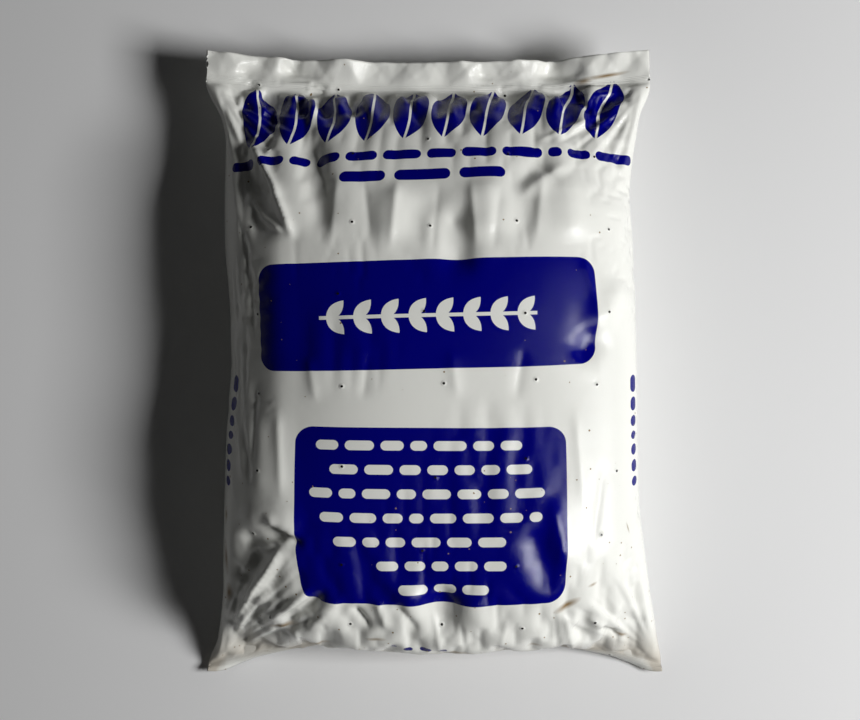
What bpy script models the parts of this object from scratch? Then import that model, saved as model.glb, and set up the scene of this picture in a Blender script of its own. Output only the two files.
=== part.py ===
"""A filled polythene sack of topsoil, lying on its back with its printed front up.

The sack is a tube of film, pressed flat and heat-sealed across both ends. It is filled through one end, so
the middle swells to a pillow while the four corners stay flat and stand out as ears. The film that has no
soil to stretch it gathers into folds, which fan out of the ears and run down from the seals.

Metres, +Z up. X is across the sack, +Y points to its top seal, and the origin is on the floor under the
middle of its bounding box.
"""

import math

import bmesh
import bpy
import numpy as np

MM = 0.001

# The film tube before filling
LAY_FLAT_WIDTH = 0.456
TOP_SKIRT = 0.031  # film beyond the top heat seal
BOTTOM_SKIRT = 0.018
SKIRT_THICKNESS = 0.0016  # two films welded, drawn thick enough to be a sound solid

# The filled sack
FILLED_WIDTH = 0.405  # across the sides, half way along
FILLED_HEIGHT = 0.140  # floor to the highest soil
TOP_SEAL_SPAN = 0.449  # across the two top ears
BOTTOM_SEAL_SPAN = 0.443  # across the two bottom ears
TOP_SEAL_REACH = 0.274  # middle of the sack to the top seal
BOTTOM_BULGE_REACH = 0.296  # middle of the sack to the rounded bottom end
BOTTOM_SEAL_TUCK = 0.016  # how far the bottom seal lies in from that end
TOP_EAR_LEAD = 0.010  # how far the top ears stand past the top seal
BOTTOM_EAR_LEAD = 0.011  # how far the bottom ears stand past the rounded end

# Heights above the floor
SIDE_FOLD_HEIGHT = 0.060
TOP_SEAL_HEIGHT = 0.050
TOP_EAR_HEIGHT = 0.058
BOTTOM_BULGE_HEIGHT = 0.062
BOTTOM_SEAL_HEIGHT = 0.034
BOTTOM_EAR_HEIGHT = 0.012
FLOOR_PRESS = 0.010  # how much lower the round underside would reach if the floor didn't press it flat

# How far the sides stand out past the even outline, in mm: distance up from the middle, then left and right
SIDE_SHIFTS = (
    (-307, 3, 12),
    (-285, 0, 13),
    (-240, -2, 10),
    (-190, -1, 6),
    (-70, 0, 4),
    (10, -3, 4),
    (70, 1, 4),
    (110, 5, 2),
    (170, 6, -1),
    (210, 3, 1),
    (230, -1, 1),
    (268, 3, 0),
    (284, 4, -1),
)

# Printed fields, measured on the film from the middle of the front
UPPER_PANEL = {"left": -0.167, "right": 0.157, "bottom": 0.007, "top": 0.116}
LOWER_PANEL = {"left": -0.127, "right": 0.124, "bottom": -0.226, "top": -0.051}
PANELS = (UPPER_PANEL, LOWER_PANEL)
PANEL_CORNER = 0.017
UPPER_PANEL_LEAN = 0.028  # how far the panel's lines rise for each metre across
LEAF_BORDER = {"left": -0.203, "right": 0.203, "bottom": 0.252, "top": 0.330}
BARS = (
    {"left": -0.198, "right": 0.198, "bottom": 0.226, "top": 0.235},
    {"left": -0.088, "right": -0.040, "bottom": 0.203, "top": 0.211},
    {"left": -0.030, "right": 0.026, "bottom": 0.203, "top": 0.211},
    {"left": 0.036, "right": 0.082, "bottom": 0.203, "top": 0.211},
)
EMBLEM_REACH = 0.104  # half of the row of white lozenges in the upper panel
EMBLEM_HEIGHT = 0.034
DASH_MARGIN = 0.012  # navy left round the white dashes in the lower panel

# Colours, as linear values
FILM_WHITE = (0.82, 0.82, 0.79, 1.0)
INK_NAVY = (0.006, 0.006, 0.115, 1.0)

# Mesh density: lengths of film between neighbouring points
FRONT_PITCH = 0.0081
LENGTH_PITCH = 0.0107
SKIRT_SHARES = (0.0, 0.34, 0.68, 1.0)  # rows of a skirt, from the seal to the cut edge

# Folds of the front, in mm as seen from above: start, end, breadth, and height, below 0 for a furrow
FRONT_FOLDS = (
    ((24, 143), (29, 71), 12, -9),
    ((-34, 166), (-44, 103), 18, 5),
    ((53, 171), (58, 108), 18, 6),
    ((97, 166), (89, 103), 14, -5),
    ((136, 176), (141, 108), 20, 5),
    ((-5, 156), (-10, 103), 14, -4),
    ((-126, 229), (-105, 113), 13, -9),
    ((-186, 185), (-163, 108), 14, -8),
    ((10, -232), (12, -280), 13, -10),
    ((-17, -232), (-27, -271), 14, 6),
    ((41, -242), (48, -275), 16, 5),
    ((100, -178), (118, -234), 12, -5),
    ((-192, -189), (-134, -186), 12, -10),
    ((-188, -166), (-126, -172), 13, 6),
    ((163, 18), (146, -11), 12, -5),
    ((190, 71), (163, 18), 12, 6),
    ((74, 159), (123, 197), 13, -5),
    ((-175, -57), (-163, -154), 16, 5),
    ((-181, 214), (-141, 143), 9, 11),
    ((-141, 143), (-137, 108), 10, 7),
    ((-182, 161), (-149, 125), 8, 5),
    ((-177, -196), (-136, -189), 8, 5),
    ((-138, -190), (-199, -271), 8, 9),
    ((-143, -210), (-184, -271), 8, -8),
    ((-155, -234), (-196, -275), 8, 7),
    ((-163, -190), (-202, -251), 9, -8),
    ((-114, -232), (-163, -271), 8, 7),
    ((-102, -237), (-146, -273), 9, -8),
    ((-85, -243), (-126, -278), 9, 5),
    ((-76, -253), (-58, -276), 8, -7),
    ((-53, -246), (-41, -275), 8, 5),
    ((-36, -251), (-11, -278), 8, -5),
    ((168, -271), (192, -286), 8, -7),
    ((155, -261), (184, -275), 8, 5),
    ((141, -271), (155, -280), 8, -4),
    ((-135, 265), (-130, 242), 8, -7),
    ((-124, 263), (-117, 242), 8, 5),
    ((-113, 267), (-102, 242), 8, -8),
    ((-97, 272), (-93, 245), 8, 7),
    ((-82, 269), (-76, 242), 8, -8),
    ((-170, 273), (-163, 253), 8, -5),
    ((148, 271), (165, 249), 8, -7),
    ((126, 267), (132, 249), 8, 4),
    ((184, 268), (161, 232), 10, -7),
    ((160, 232), (131, 214), 11, -5),
    ((198, 261), (169, 234), 9, 5),
    ((87, 151), (138, 190), 10, 4),
    ((-152, 304), (-108, 272), 13, -11),
    ((-196, 300), (-178, 276), 9, -7),
    ((44, 296), (92, 273), 11, -8),
    ((100, 296), (60, 274), 8, 4),
    ((108, 296), (164, 282), 13, -10),
    ((140, 274), (210, 279), 8, 4),
    ((160, 286), (210, 284), 8, -4),
    ((119, -149), (132, -217), 10, 4),
    ((-198, 268), (198, 268), 8, -3),
    ((52, 278), (54, 256), 8, -2),
    ((-20, 280), (-19, 260), 8, -2),
    ((76, 282), (74, 258), 8, -6),
    ((-48, 278), (-46, 252), 9, -5),
    ((96, 276), (98, 252), 9, -1),
    ((143, 280), (141, 256), 9, -8),
    ((28, 276), (28, 256), 8, -5),
    ((-170, 278), (-166, 250), 9, -11),
    ((-84, 274), (-86, 254), 8, -2),
    ((-108, 268), (-110, 240), 9, -7),
    ((-124, -270), (-130, -306), 9, -8),
    ((-66, -272), (-66, -306), 9, -3),
    ((-5, -282), (-4, -308), 8, -4),
    ((36, -282), (36, -308), 9, 4),
    ((78, -276), (78, -306), 9, 2),
    ((116, -278), (117, -306), 9, 3),
    ((162, -268), (166, -304), 9, -5),
    ((182, -262), (180, -290), 9, 2),
    ((-164, -262), (-170, -298), 9, -2),
    ((-184, -262), (-192, -296), 9, -3),
    ((-150, -174), (-146, -192), 8, -5),
    ((-172, -196), (-162, -216), 8, -4),
)


def soft_step(value, start, end):
    """0 below start, 1 above end, and a smooth S between them."""
    share = np.clip((value - start) / (end - start), 0.0, 1.0)
    return share * share * (3.0 - 2.0 * share)


def quarter(start, end, bulge_y, bulge_z):
    """A quarter of a superellipse from start, where it is steep, to end, where it is level."""
    turn = np.linspace(0.0, 0.5 * math.pi, 120)
    y = end[0] + (start[0] - end[0]) * np.cos(turn) ** (2.0 / bulge_y)
    z = start[1] + (end[1] - start[1]) * np.sin(turn) ** (2.0 / bulge_z)
    return np.stack([y, z], axis=1)


def front_profile():
    """The film down the middle of the front, bottom seal to top seal, as (y, z)."""
    seal = (BOTTOM_SEAL_TUCK - BOTTOM_BULGE_REACH, BOTTOM_SEAL_HEIGHT)
    bulge = (-BOTTOM_BULGE_REACH, BOTTOM_BULGE_HEIGHT)
    curl = np.linspace(1.35, 0.0, 30)
    under_y = bulge[0] + (seal[0] - bulge[0]) * (1.0 - np.cos(curl)) / (1.0 - math.cos(curl[0]))
    under_z = bulge[1] + (seal[1] - bulge[1]) * np.sin(curl) / math.sin(curl[0])
    bottom_end = quarter(bulge, (0.0, FILLED_HEIGHT), 3.6, 2.0)
    top_end = quarter((TOP_SEAL_REACH, TOP_SEAL_HEIGHT), (0.0, FILLED_HEIGHT), 2.9, 1.45)
    return np.concatenate([np.stack([under_y, under_z], axis=1)[:-1], bottom_end[:-1], top_end[::-1]])


def back_profile():
    """The film down the middle of the back, as (y, z), before the floor presses it flat."""
    seal = (BOTTOM_SEAL_TUCK - BOTTOM_BULGE_REACH, BOTTOM_SEAL_HEIGHT)
    bottom_end = quarter(seal, (0.0, -FLOOR_PRESS), 5.0, 1.5)
    top_end = quarter((TOP_SEAL_REACH, TOP_SEAL_HEIGHT), (0.0, -FLOOR_PRESS), 3.4, 1.7)
    return np.concatenate([bottom_end[:-1], top_end[::-1]])


def at_shares(line, shares):
    """Points of a line at shares of its length."""
    run = np.concatenate([[0.0], np.cumsum(np.linalg.norm(np.diff(line, axis=0), axis=1))])
    return np.stack([np.interp(shares * run[-1], run, column) for column in line.T], axis=1)


FRONT_LENGTH = float(np.linalg.norm(np.diff(front_profile(), axis=0), axis=1).sum())


def side_lines(along):
    """x of the left and the right side, at shares of the sack's length from bottom seal to top seal."""
    middle = 0.5 * FILLED_WIDTH
    to_bottom = along * FRONT_LENGTH
    to_top = (1.0 - along) * FRONT_LENGTH
    bottom_ear = (0.5 * BOTTOM_SEAL_SPAN - middle) * np.exp(-((to_bottom / (90 * MM)) ** 1.1))
    top_ear = (0.5 * TOP_SEAL_SPAN - middle) * np.exp(-((to_top / (62 * MM)) ** 1.7))
    half_width = middle + bottom_ear + top_ear
    place, left, right = np.array(SIDE_SHIFTS, float).T * MM
    up = side_fold(along)[:, 0]
    return -half_width - np.interp(up, place, left), half_width + np.interp(up, place, right)


def side_fold(along):
    """The fold line down each side, as (y, z)."""
    low = -BOTTOM_BULGE_REACH - BOTTOM_EAR_LEAD
    high = TOP_SEAL_REACH + TOP_EAR_LEAD
    z = SIDE_FOLD_HEIGHT * np.ones_like(along)
    z += (BOTTOM_EAR_HEIGHT - SIDE_FOLD_HEIGHT) * (1.0 - soft_step(along, 0.0, 0.17))
    z += (TOP_EAR_HEIGHT - SIDE_FOLD_HEIGHT) * soft_step(along, 0.9, 1.0)
    return np.stack([low + (high - low) * along, z], axis=1)


def cross_section(width, depth, fullness, front, across):
    """One cross-section of the front or the back, as (x, rise): rise is 0 at the side fold and 1 inside.

    A full section is a rounded box, and a thin one near a seal is a lens with sharp sides. The points lie at
    equal steps of film, as on the film before it was filled.
    """
    turn = np.linspace(-0.5 * math.pi, 0.5 * math.pi, 161)
    reach = np.sin(turn)
    boxiness = 2.1 + 1.0 * fullness if front else 2.4 + 2.0 * fullness
    sharpness = (1.12 if front else 1.15) - 0.64 * fullness
    rise = np.clip(1.0 - np.abs(reach) ** boxiness, 0.0, 1.0) ** sharpness
    line = np.stack([width * reach, depth * rise], axis=1)
    placed = at_shares(line, 0.5 + 0.5 * across)
    return placed[:, 0], placed[:, 1] / depth


def fold(across, along, start, end, breadth, height):
    """One fold in the film from start to end: a ridge, or a furrow where height is negative."""
    line = np.subtract(end, start)
    length = math.hypot(*line)
    unit = line / length
    run = ((across - start[0]) * unit[0] + (along - start[1]) * unit[1]) / length
    off = np.abs((along - start[1]) * unit[0] - (across - start[0]) * unit[1])
    taper = soft_step(run, -0.05, 0.3) * (1.0 - soft_step(run, 0.6, 1.05))
    return height * taper * np.exp(-((off / breadth) ** 1.5))


def ear_folds(across, along, rng):
    """Fans of ridges and furrows that run out of the four ears."""
    total = np.zeros_like(across)
    rays = 6
    for side in (-1, 1):
        for end in (-1, 1):
            corner = np.array([side * 0.5 * LAY_FLAT_WIDTH, end * 0.5 * FRONT_LENGTH])
            for ray in range(rays):
                angle = math.radians(18 + 60 * (ray + rng.uniform(-0.2, 0.2)) / (rays - 1))
                heading = np.array([-side * math.cos(angle), -end * math.sin(angle)])
                near = corner + heading * rng.uniform(20, 40) * MM
                far = corner + heading * rng.uniform(120, 215) * MM
                height = (5.5 if ray % 2 else -5.0) * rng.uniform(0.6, 1.1) * MM
                total += fold(across, along, near, far, rng.uniform(8, 12) * MM, height)
    return total


def seal_gathers(across, along, rng):
    """Short pleats that run in from the seals, deepest near the ears."""
    total = np.zeros_like(across)
    for end in (-1, 1):
        place = -0.43 * LAY_FLAT_WIDTH
        sign = 1
        while place < 0.43 * LAY_FLAT_WIDTH:
            outward = abs(place) / (0.5 * LAY_FLAT_WIDTH)
            near = (place, end * (0.5 * FRONT_LENGTH - 4 * MM))
            far_place = place * (1.0 - rng.uniform(0.05, 0.25))
            far = (far_place, end * (0.5 * FRONT_LENGTH - rng.uniform(45, 95) * MM))
            height = sign * (2.6 + 2.6 * outward**2) * rng.uniform(0.7, 1.2) * MM
            total += fold(across, along, near, far, rng.uniform(7, 9) * MM, height)
            place += rng.uniform(16, 26) * MM
            sign = -sign
    return total


def front_folds(points):
    """How far the front's folds stand up, in metres, at points given by their places seen from above."""
    seen = points[..., 0] / MM, points[..., 1] / MM
    return sum(fold(*seen, *line) for line in FRONT_FOLDS) * MM


def soil_lumps(across, along):
    """Slow rises and hollows where the soil has settled unevenly."""
    close = 1.7 * MM * np.cos(across / 0.041 + 0.7) * np.cos(along / 0.056)
    wide = 1.4 * MM * np.cos(across / 0.068 - along / 0.083 + 1.3)
    return close + wide


def outward_normals(points, front):
    """Unit normals of a grid of points, rows along the sack and columns across it."""
    normal = np.cross(np.gradient(points, axis=1), np.gradient(points, axis=0))
    normal /= np.linalg.norm(normal, axis=-1, keepdims=True) + 1e-12
    return normal if front else -normal


def body_surface(across, along, front):
    """Grid of points between the seals. Across runs -1 to 1 and along 0 to 1, as shares of the flat film."""
    middle = at_shares(front_profile() if front else back_profile(), along)
    edge = side_fold(along)
    left, right = side_lines(along)
    fullness = np.clip(4.2 * np.minimum(along, 1.0 - along), 0.0, 1.0) ** 0.7
    points = np.empty((len(along), len(across), 3))
    rise = np.empty((len(along), len(across)))
    for row in range(len(along)):
        depth = max(np.linalg.norm(middle[row] - edge[row]), MM)
        half_width = 0.5 * (right[row] - left[row])
        x, rise[row] = cross_section(half_width, depth, fullness[row], front, across)
        points[row, :, 0] = x + 0.5 * (left[row] + right[row])
    points[:, :, 1:] = edge[:, None] + rise[..., None] * (middle - edge)[:, None]

    film_x, film_y = np.meshgrid(0.5 * LAY_FLAT_WIDTH * across, (along - 0.5) * FRONT_LENGTH)
    if front:
        relief = soil_lumps(film_x, film_y) + front_folds(points)
    else:
        rng = np.random.default_rng(12)
        relief = ear_folds(film_x, film_y, rng) + seal_gathers(film_x, film_y, rng)
    to_seal = (np.minimum(along, 1.0 - along) * FRONT_LENGTH)[:, None]
    relief *= soft_step(rise * to_seal, 0.0, (16 if front else 50) * MM)
    above_side = rise * np.linalg.norm(middle - edge, axis=1)[:, None]
    relief = np.maximum(relief, -0.6 * above_side)
    points += outward_normals(points, front) * relief[..., None]
    return points


def seal_line(across, along_share):
    """The welded line across one end, from ear to ear, along_share 0 for the bottom and 1 for the top."""
    at_end = np.array([float(along_share)])
    middle = at_shares(front_profile(), at_end)[0]
    edge = side_fold(at_end)[0]
    depth = max(np.linalg.norm(middle - edge), MM)
    left, right = side_lines(at_end)
    x, rise = cross_section(0.5 * (right - left)[0], depth, 0.0, True, across)
    x += 0.5 * (left + right)[0]
    return np.concatenate([x[:, None], edge + rise[:, None] * (middle - edge)], axis=1)


def skirt_surface(across, top):
    """Middle surface of a skirt in rows, from the seal out to the cut edge, and its front's unit normals."""
    ear = np.abs(across) ** 6
    if top:
        seal, length = seal_line(across, 1), TOP_SKIRT + 0.0 * ear
        heading = np.stack([0.0 * across, 1.0 + 0.0 * across, 0.12 - 0.1 * ear], axis=1)
    else:
        seal, length = seal_line(across, 0), BOTTOM_SKIRT * (1.0 - 0.6 * ear)
        heading = np.stack([0.15 * ear * np.sign(across), 0.2 - 1.1 * ear, -1.0 + 0.8 * ear], axis=1)
    heading /= np.linalg.norm(heading, axis=1, keepdims=True)
    rows = np.stack([seal + heading * length[:, None] * share for share in SKIRT_SHARES])
    if top:
        for row, share in enumerate(SKIRT_SHARES):
            rows[row, :, 2] += seal_wave(0.5 * LAY_FLAT_WIDTH * across, share)
            rows[row, :, 2] += front_folds(rows[row]) * soft_step(share, 0.0, 0.6)
    normals = outward_normals(rows, top)
    return rows, normals


def zigzag(turn):
    """A wave with straight flanks, so that its crests and troughs are creases."""
    return np.arcsin(np.sin(turn)) * 2.0 / math.pi


def seal_wave(film_x, reach):
    """How far the top seal and its skirt stand up or down as they ripple, more towards the cut edge.

    The creases lean to one side or the other as they run out, and so cross in lozenges with flat facets.
    """
    ripple = 2.6 * zigzag(film_x / 0.023 + 0.6 - 1.3 * reach)
    ripple += 1.7 * zigzag(film_x / 0.0095 + 2.1 + 2.2 * reach)
    ripple += 1.5 * zigzag(film_x / 0.014 + 4.0 - 2.6 * reach)
    return ripple * MM * (0.35 + 1.3 * reach)


def two_sides(middle, normals, across, thickness):
    """The front and back faces of a thin sheet, which meet at its two folded sides."""
    inside = soft_step(1.0 - np.abs(across), 0.0, 0.03)
    offset = normals * (0.5 * thickness * inside)[:, None]
    return middle + offset, middle - offset


def film_rows(across, along):
    """Rows of points round the whole sack, from the bottom skirt's cut edge to the top one's.

    Each row is a pair, the front's points and the back's. The back has every second line of the front.
    """
    front = body_surface(across, along, True)
    back = body_surface(across[::2], along, False)
    rows = []
    for top in (False, True):
        middle, normals = skirt_surface(across, top)
        to_seal = (1.0 - along if top else along) * FRONT_LENGTH
        ripple = seal_wave(0.5 * LAY_FLAT_WIDTH * across, 0.0) if top else 0.0 * across
        for row in np.flatnonzero(to_seal < 60 * MM):
            share = 1.0 - soft_step(to_seal[row], 0.0, 60 * MM)
            over, under = two_sides(np.zeros_like(middle[0]), normals[0], across, SKIRT_THICKNESS * share)
            front[row] += over
            back[row] += under[::2]
            front[row, :, 2] += ripple * share
            back[row, :, 2] += ripple[::2] * share
        skirt = []
        for line, normal in zip(middle, normals):
            over, under = two_sides(line, normal, across, SKIRT_THICKNESS)
            skirt.append((over, under[::2]))
        rows.append(skirt if top else skirt[::-1])
    body = list(zip(front[1:-1], back[1:-1]))
    rows = rows[0] + body + rows[1]
    for _, under in rows:
        under[:, 2] = np.maximum(under[:, 2], 0.0)
    return rows


def round_corners(across, along, panel):
    """Shifts of the front's grid, in metres of film, that pull a panel's outline onto round corners."""
    film_x, film_y = np.meshgrid(0.5 * LAY_FLAT_WIDTH * across, (along - 0.5) * FRONT_LENGTH)
    shift = np.zeros(film_x.shape + (2,))
    radius = PANEL_CORNER
    for x_side, x_sign in (("left", -1), ("right", 1)):
        for y_side, y_sign in (("bottom", -1), ("top", 1)):
            from_x = (film_x - panel[x_side]) * x_sign + radius
            from_y = (film_y - panel[y_side]) * y_sign + radius
            on_line = (np.abs(from_x - radius) < 1e-6) | (np.abs(from_y - radius) < 1e-6)
            corner = on_line & (from_x > 0) & (from_y > 0) & (np.maximum(from_x, from_y) < radius + 1e-6)
            distance = np.hypot(from_x, from_y) + 1e-9
            pull = np.where(corner, radius / distance - 1.0, 0.0)
            shift[..., 0] += pull * from_x * x_sign
            shift[..., 1] += pull * from_y * y_sign
    return shift


def slide(points, across, along, shift):
    """Moves grid points along the film by a small shift."""
    step_x = np.gradient(0.5 * LAY_FLAT_WIDTH * across)[None, :, None]
    step_y = np.gradient(along * FRONT_LENGTH)[:, None, None]
    by_x = np.gradient(points, axis=1) / step_x
    by_y = np.gradient(points, axis=0) / step_y
    return points + by_x * shift[..., :1] + by_y * shift[..., 1:]


def snapped(lines, wanted):
    """The lines, with the nearest one moved onto each wanted place."""
    lines = np.array(lines)
    for place in wanted:
        lines[np.abs(lines - place).argmin()] = place
    return np.sort(lines)


def leaned(across, along):
    """Shifts of the front's grid, in metres of film, that tilt the upper panel and die out beyond it."""
    film_x, film_y = np.meshgrid(0.5 * LAY_FLAT_WIDTH * across, (along - 0.5) * FRONT_LENGTH)
    away = np.maximum(UPPER_PANEL["bottom"] - film_y, film_y - UPPER_PANEL["top"])
    tilt = UPPER_PANEL_LEAN * film_x * (1.0 - soft_step(away, 0.0, 60 * MM))
    return np.stack([np.zeros_like(tilt), tilt], axis=-1)


def film_lines():
    """Shares across and along the front where the mesh has its lines, printed fields' edges among them."""
    half = 0.5 * LAY_FLAT_WIDTH
    pairs = round(LAY_FLAT_WIDTH / FRONT_PITCH / 2)
    sides = [panel[side] / half for panel in PANELS for side in ("left", "right")]
    across = snapped(np.linspace(-1.0, 1.0, 2 * pairs + 1), sides)
    rows = round(FRONT_LENGTH / LENGTH_PITCH)
    even = np.linspace(0.0, 1.0, rows + 1)
    crowded = even - 0.045 * np.sin(2.0 * math.pi * even)
    ends = {0.5 + field[end] / FRONT_LENGTH for field in PANELS + BARS for end in ("bottom", "top")}
    return across, snapped(crowded, sorted(ends))


def material(name, colour, roughness):
    """A plain film or ink finish."""
    made = bpy.data.materials.new(name)
    made.use_nodes = True
    shader = made.node_tree.nodes["Principled BSDF"]
    shader.inputs["Base Color"].default_value = colour
    shader.inputs["Roughness"].default_value = roughness
    shader.inputs["Metallic"].default_value = 0.0
    return made


def in_field(x, y, field, margin=0.0):
    """Whether a place on the film is inside a printed field's square outline, less a margin all round."""
    across = field["left"] + margin < x < field["right"] - margin
    return across and field["bottom"] + margin < y < field["top"] - margin


def in_leaf(column, off_middle, height):
    """Whether a face is in a row of leaves: five columns apart, and four wide but for their ends."""
    beside = abs(2 * ((column + 1) % 5) - 3)
    reach = abs(off_middle) / (0.5 * height)
    return (beside == 1 and reach < 1.0) or (beside == 3 and reach < 0.7)


def in_lozenge(column, off_middle, height):
    """Whether a face is in a row of lozenges: four columns apart, and three wide but for their ends."""
    beside = abs(column % 4 - 1)
    reach = abs(off_middle) / (0.5 * height)
    return (beside == 0 and reach < 1.0) or (beside == 1 and reach < 0.55)


def is_printed(x, y, column, row):
    """Whether the front's face here is navy: a panel less its white marks, a bar, or the leafy border."""
    if in_field(x, y, LOWER_PANEL):
        in_dash = row % 2 == 0 and (2 * column + 3 * row) % 5 > 0
        return not (in_dash and in_field(x, y, LOWER_PANEL, DASH_MARGIN))
    if in_field(x, y, UPPER_PANEL):
        off_middle = y - 0.5 * (UPPER_PANEL["bottom"] + UPPER_PANEL["top"])
        return not (abs(x) < EMBLEM_REACH and in_lozenge(column, off_middle, EMBLEM_HEIGHT))
    if in_field(x, y, LEAF_BORDER):
        off_middle = y - 0.5 * (LEAF_BORDER["bottom"] + LEAF_BORDER["top"])
        return in_leaf(column, off_middle, LEAF_BORDER["top"] - LEAF_BORDER["bottom"])
    return any(in_field(x, y, bar) for bar in BARS)


def build_sack():
    """The closed skin of the sack as one object."""
    across, along = film_lines()
    rows = film_rows(across, along)
    skirt = len(SKIRT_SHARES)
    first_body = skirt - 1
    front = np.stack([row[0] for row in rows])
    shift = leaned(across, along) + sum(round_corners(across, along, panel) for panel in PANELS)
    body = slice(first_body, first_body + len(along))
    front[body] = slide(front[body], across, along, shift)

    mesh = bmesh.new()
    front_points = [[mesh.verts.new(point) for point in row] for row in front]
    back_points = []
    for row, (_, under) in enumerate(rows):
        inner = [mesh.verts.new(point) for point in under[1:-1]]
        back_points.append([front_points[row][0], *inner, front_points[row][-1]])

    film_x = 0.25 * LAY_FLAT_WIDTH * (across[:-1] + across[1:])
    film_y = 0.5 * (along[:-1] + along[1:] - 1.0) * FRONT_LENGTH
    for row in range(len(rows) - 1):
        low, high = front_points[row], front_points[row + 1]
        for column in range(len(low) - 1):
            face = mesh.faces.new((low[column], low[column + 1], high[column + 1], high[column]))
            body_row = row - first_body
            if 0 <= body_row < len(film_y) and is_printed(film_x[column], film_y[body_row], column, row):
                face.material_index = 1
        low, high = back_points[row], back_points[row + 1]
        for column in range(len(low) - 1):
            mesh.faces.new((low[column + 1], low[column], high[column], high[column + 1]))
    for row, turned in ((0, False), (len(rows) - 1, True)):
        over, under = front_points[row], back_points[row]
        for column in range(len(under) - 1):
            strip = [under[column], under[column + 1], *over[2 * column : 2 * column + 3][::-1]]
            loop = list(dict.fromkeys(strip))
            mesh.faces.new(loop[::-1] if turned else loop)
    bmesh.ops.triangulate(mesh, faces=mesh.faces, quad_method="SHORT_EDGE")

    data = bpy.data.meshes.new("filled_bag")
    mesh.to_mesh(data)
    mesh.free()
    data.materials.append(material("white polythene film", FILM_WHITE, 0.28))
    data.materials.append(material("navy printing ink", INK_NAVY, 0.3))
    sack = bpy.data.objects.new("filled_bag", data)
    bpy.context.scene.collection.objects.link(sack)
    return sack


def stand_on_origin(sack):
    """Puts the origin on the floor, under the middle of the sack's bounding box."""
    points = np.array([vertex.co for vertex in sack.data.vertices])
    low, high = points.min(axis=0), points.max(axis=0)
    points -= [(low[0] + high[0]) / 2, (low[1] + high[1]) / 2, low[2]]
    sack.data.vertices.foreach_set("co", points.astype(np.float32).ravel())
    sack.data.update()


def main():
    for old in list(bpy.data.objects):
        bpy.data.objects.remove(old, do_unlink=True)
    sack = build_sack()
    stand_on_origin(sack)
    sack.data.shade_smooth()
    sack.data.set_sharp_from_angle(angle=math.radians(50))


main()
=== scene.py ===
"""A filled polythene sack of topsoil on a pale floor, seen from above.

The sack's film is worked out as one tube on a grid of film, wrapped round the soil, and then relaxed: each
stretch of film keeps its length, bends stiffly and lies on the soil, so that spare film stands up in folds.
The front's print, the soil on the film and the weld bands are drawn by the materials on the film's own map.
"""

import math

import bpy
import numpy as np
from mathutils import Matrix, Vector


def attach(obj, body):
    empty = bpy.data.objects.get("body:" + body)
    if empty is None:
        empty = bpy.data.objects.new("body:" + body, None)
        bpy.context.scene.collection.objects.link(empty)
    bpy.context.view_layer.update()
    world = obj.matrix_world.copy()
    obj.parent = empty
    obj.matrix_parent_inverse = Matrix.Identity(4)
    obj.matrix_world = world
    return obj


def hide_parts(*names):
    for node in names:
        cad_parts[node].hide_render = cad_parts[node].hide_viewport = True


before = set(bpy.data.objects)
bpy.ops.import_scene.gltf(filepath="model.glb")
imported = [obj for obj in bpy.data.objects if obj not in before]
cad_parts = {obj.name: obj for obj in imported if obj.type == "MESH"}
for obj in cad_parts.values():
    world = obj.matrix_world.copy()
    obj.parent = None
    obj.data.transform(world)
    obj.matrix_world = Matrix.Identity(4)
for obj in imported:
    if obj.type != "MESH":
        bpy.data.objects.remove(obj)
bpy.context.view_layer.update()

MM = 0.001

# The film tube before filling, in mm
LAY_FLAT_WIDTH = 456.0
TOP_SKIRT = 31.0
BOTTOM_SKIRT = 18.0
FILM_THICKNESS = 0.35  # drawn between the two welded films

# The filled sack, in mm
FILLED_HEIGHT = 140.0
TOP_SEAL_REACH = 274.0
BOTTOM_BULGE_REACH = 296.0
BOTTOM_SEAL_TUCK = 16.0
TOP_EAR_LEAD = 10.0
BOTTOM_EAR_LEAD = 11.0
SIDE_FOLD_HEIGHT = 60.0
TOP_SEAL_HEIGHT = 50.0
TOP_EAR_HEIGHT = 58.0
BOTTOM_BULGE_HEIGHT = 62.0
BOTTOM_SEAL_HEIGHT = 34.0
BOTTOM_EAR_HEIGHT = 12.0
FLOOR_PRESS = 10.0

# From the sack's middle, which the sizes are from, to the middle of its bounding box, which is the origin
TO_ORIGIN = (-3.1, -0.4)

# The outline seen from above, in mm from the middle: how far up the sack, then its left and its right side
OUTLINE = (
    (-307, -225, 234),
    (-285, -217, 230),
    (-262, -212, 226),
    (-232, -207, 219),
    (-192, -206, 213),
    (-152, -205, 209),
    (-72, -203, 207),
    (8, -200, 207),
    (68, -204, 207),
    (108, -208, 205),
    (168, -209, 202),
    (208, -209, 207),
    (228, -209, 211),
    (248, -216, 215),
    (268, -225, 222),
    (284, -229, 224),
)

# Pitch of the film's grid before it is refined, in mm
TUBE_PITCH = 8.3

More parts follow.
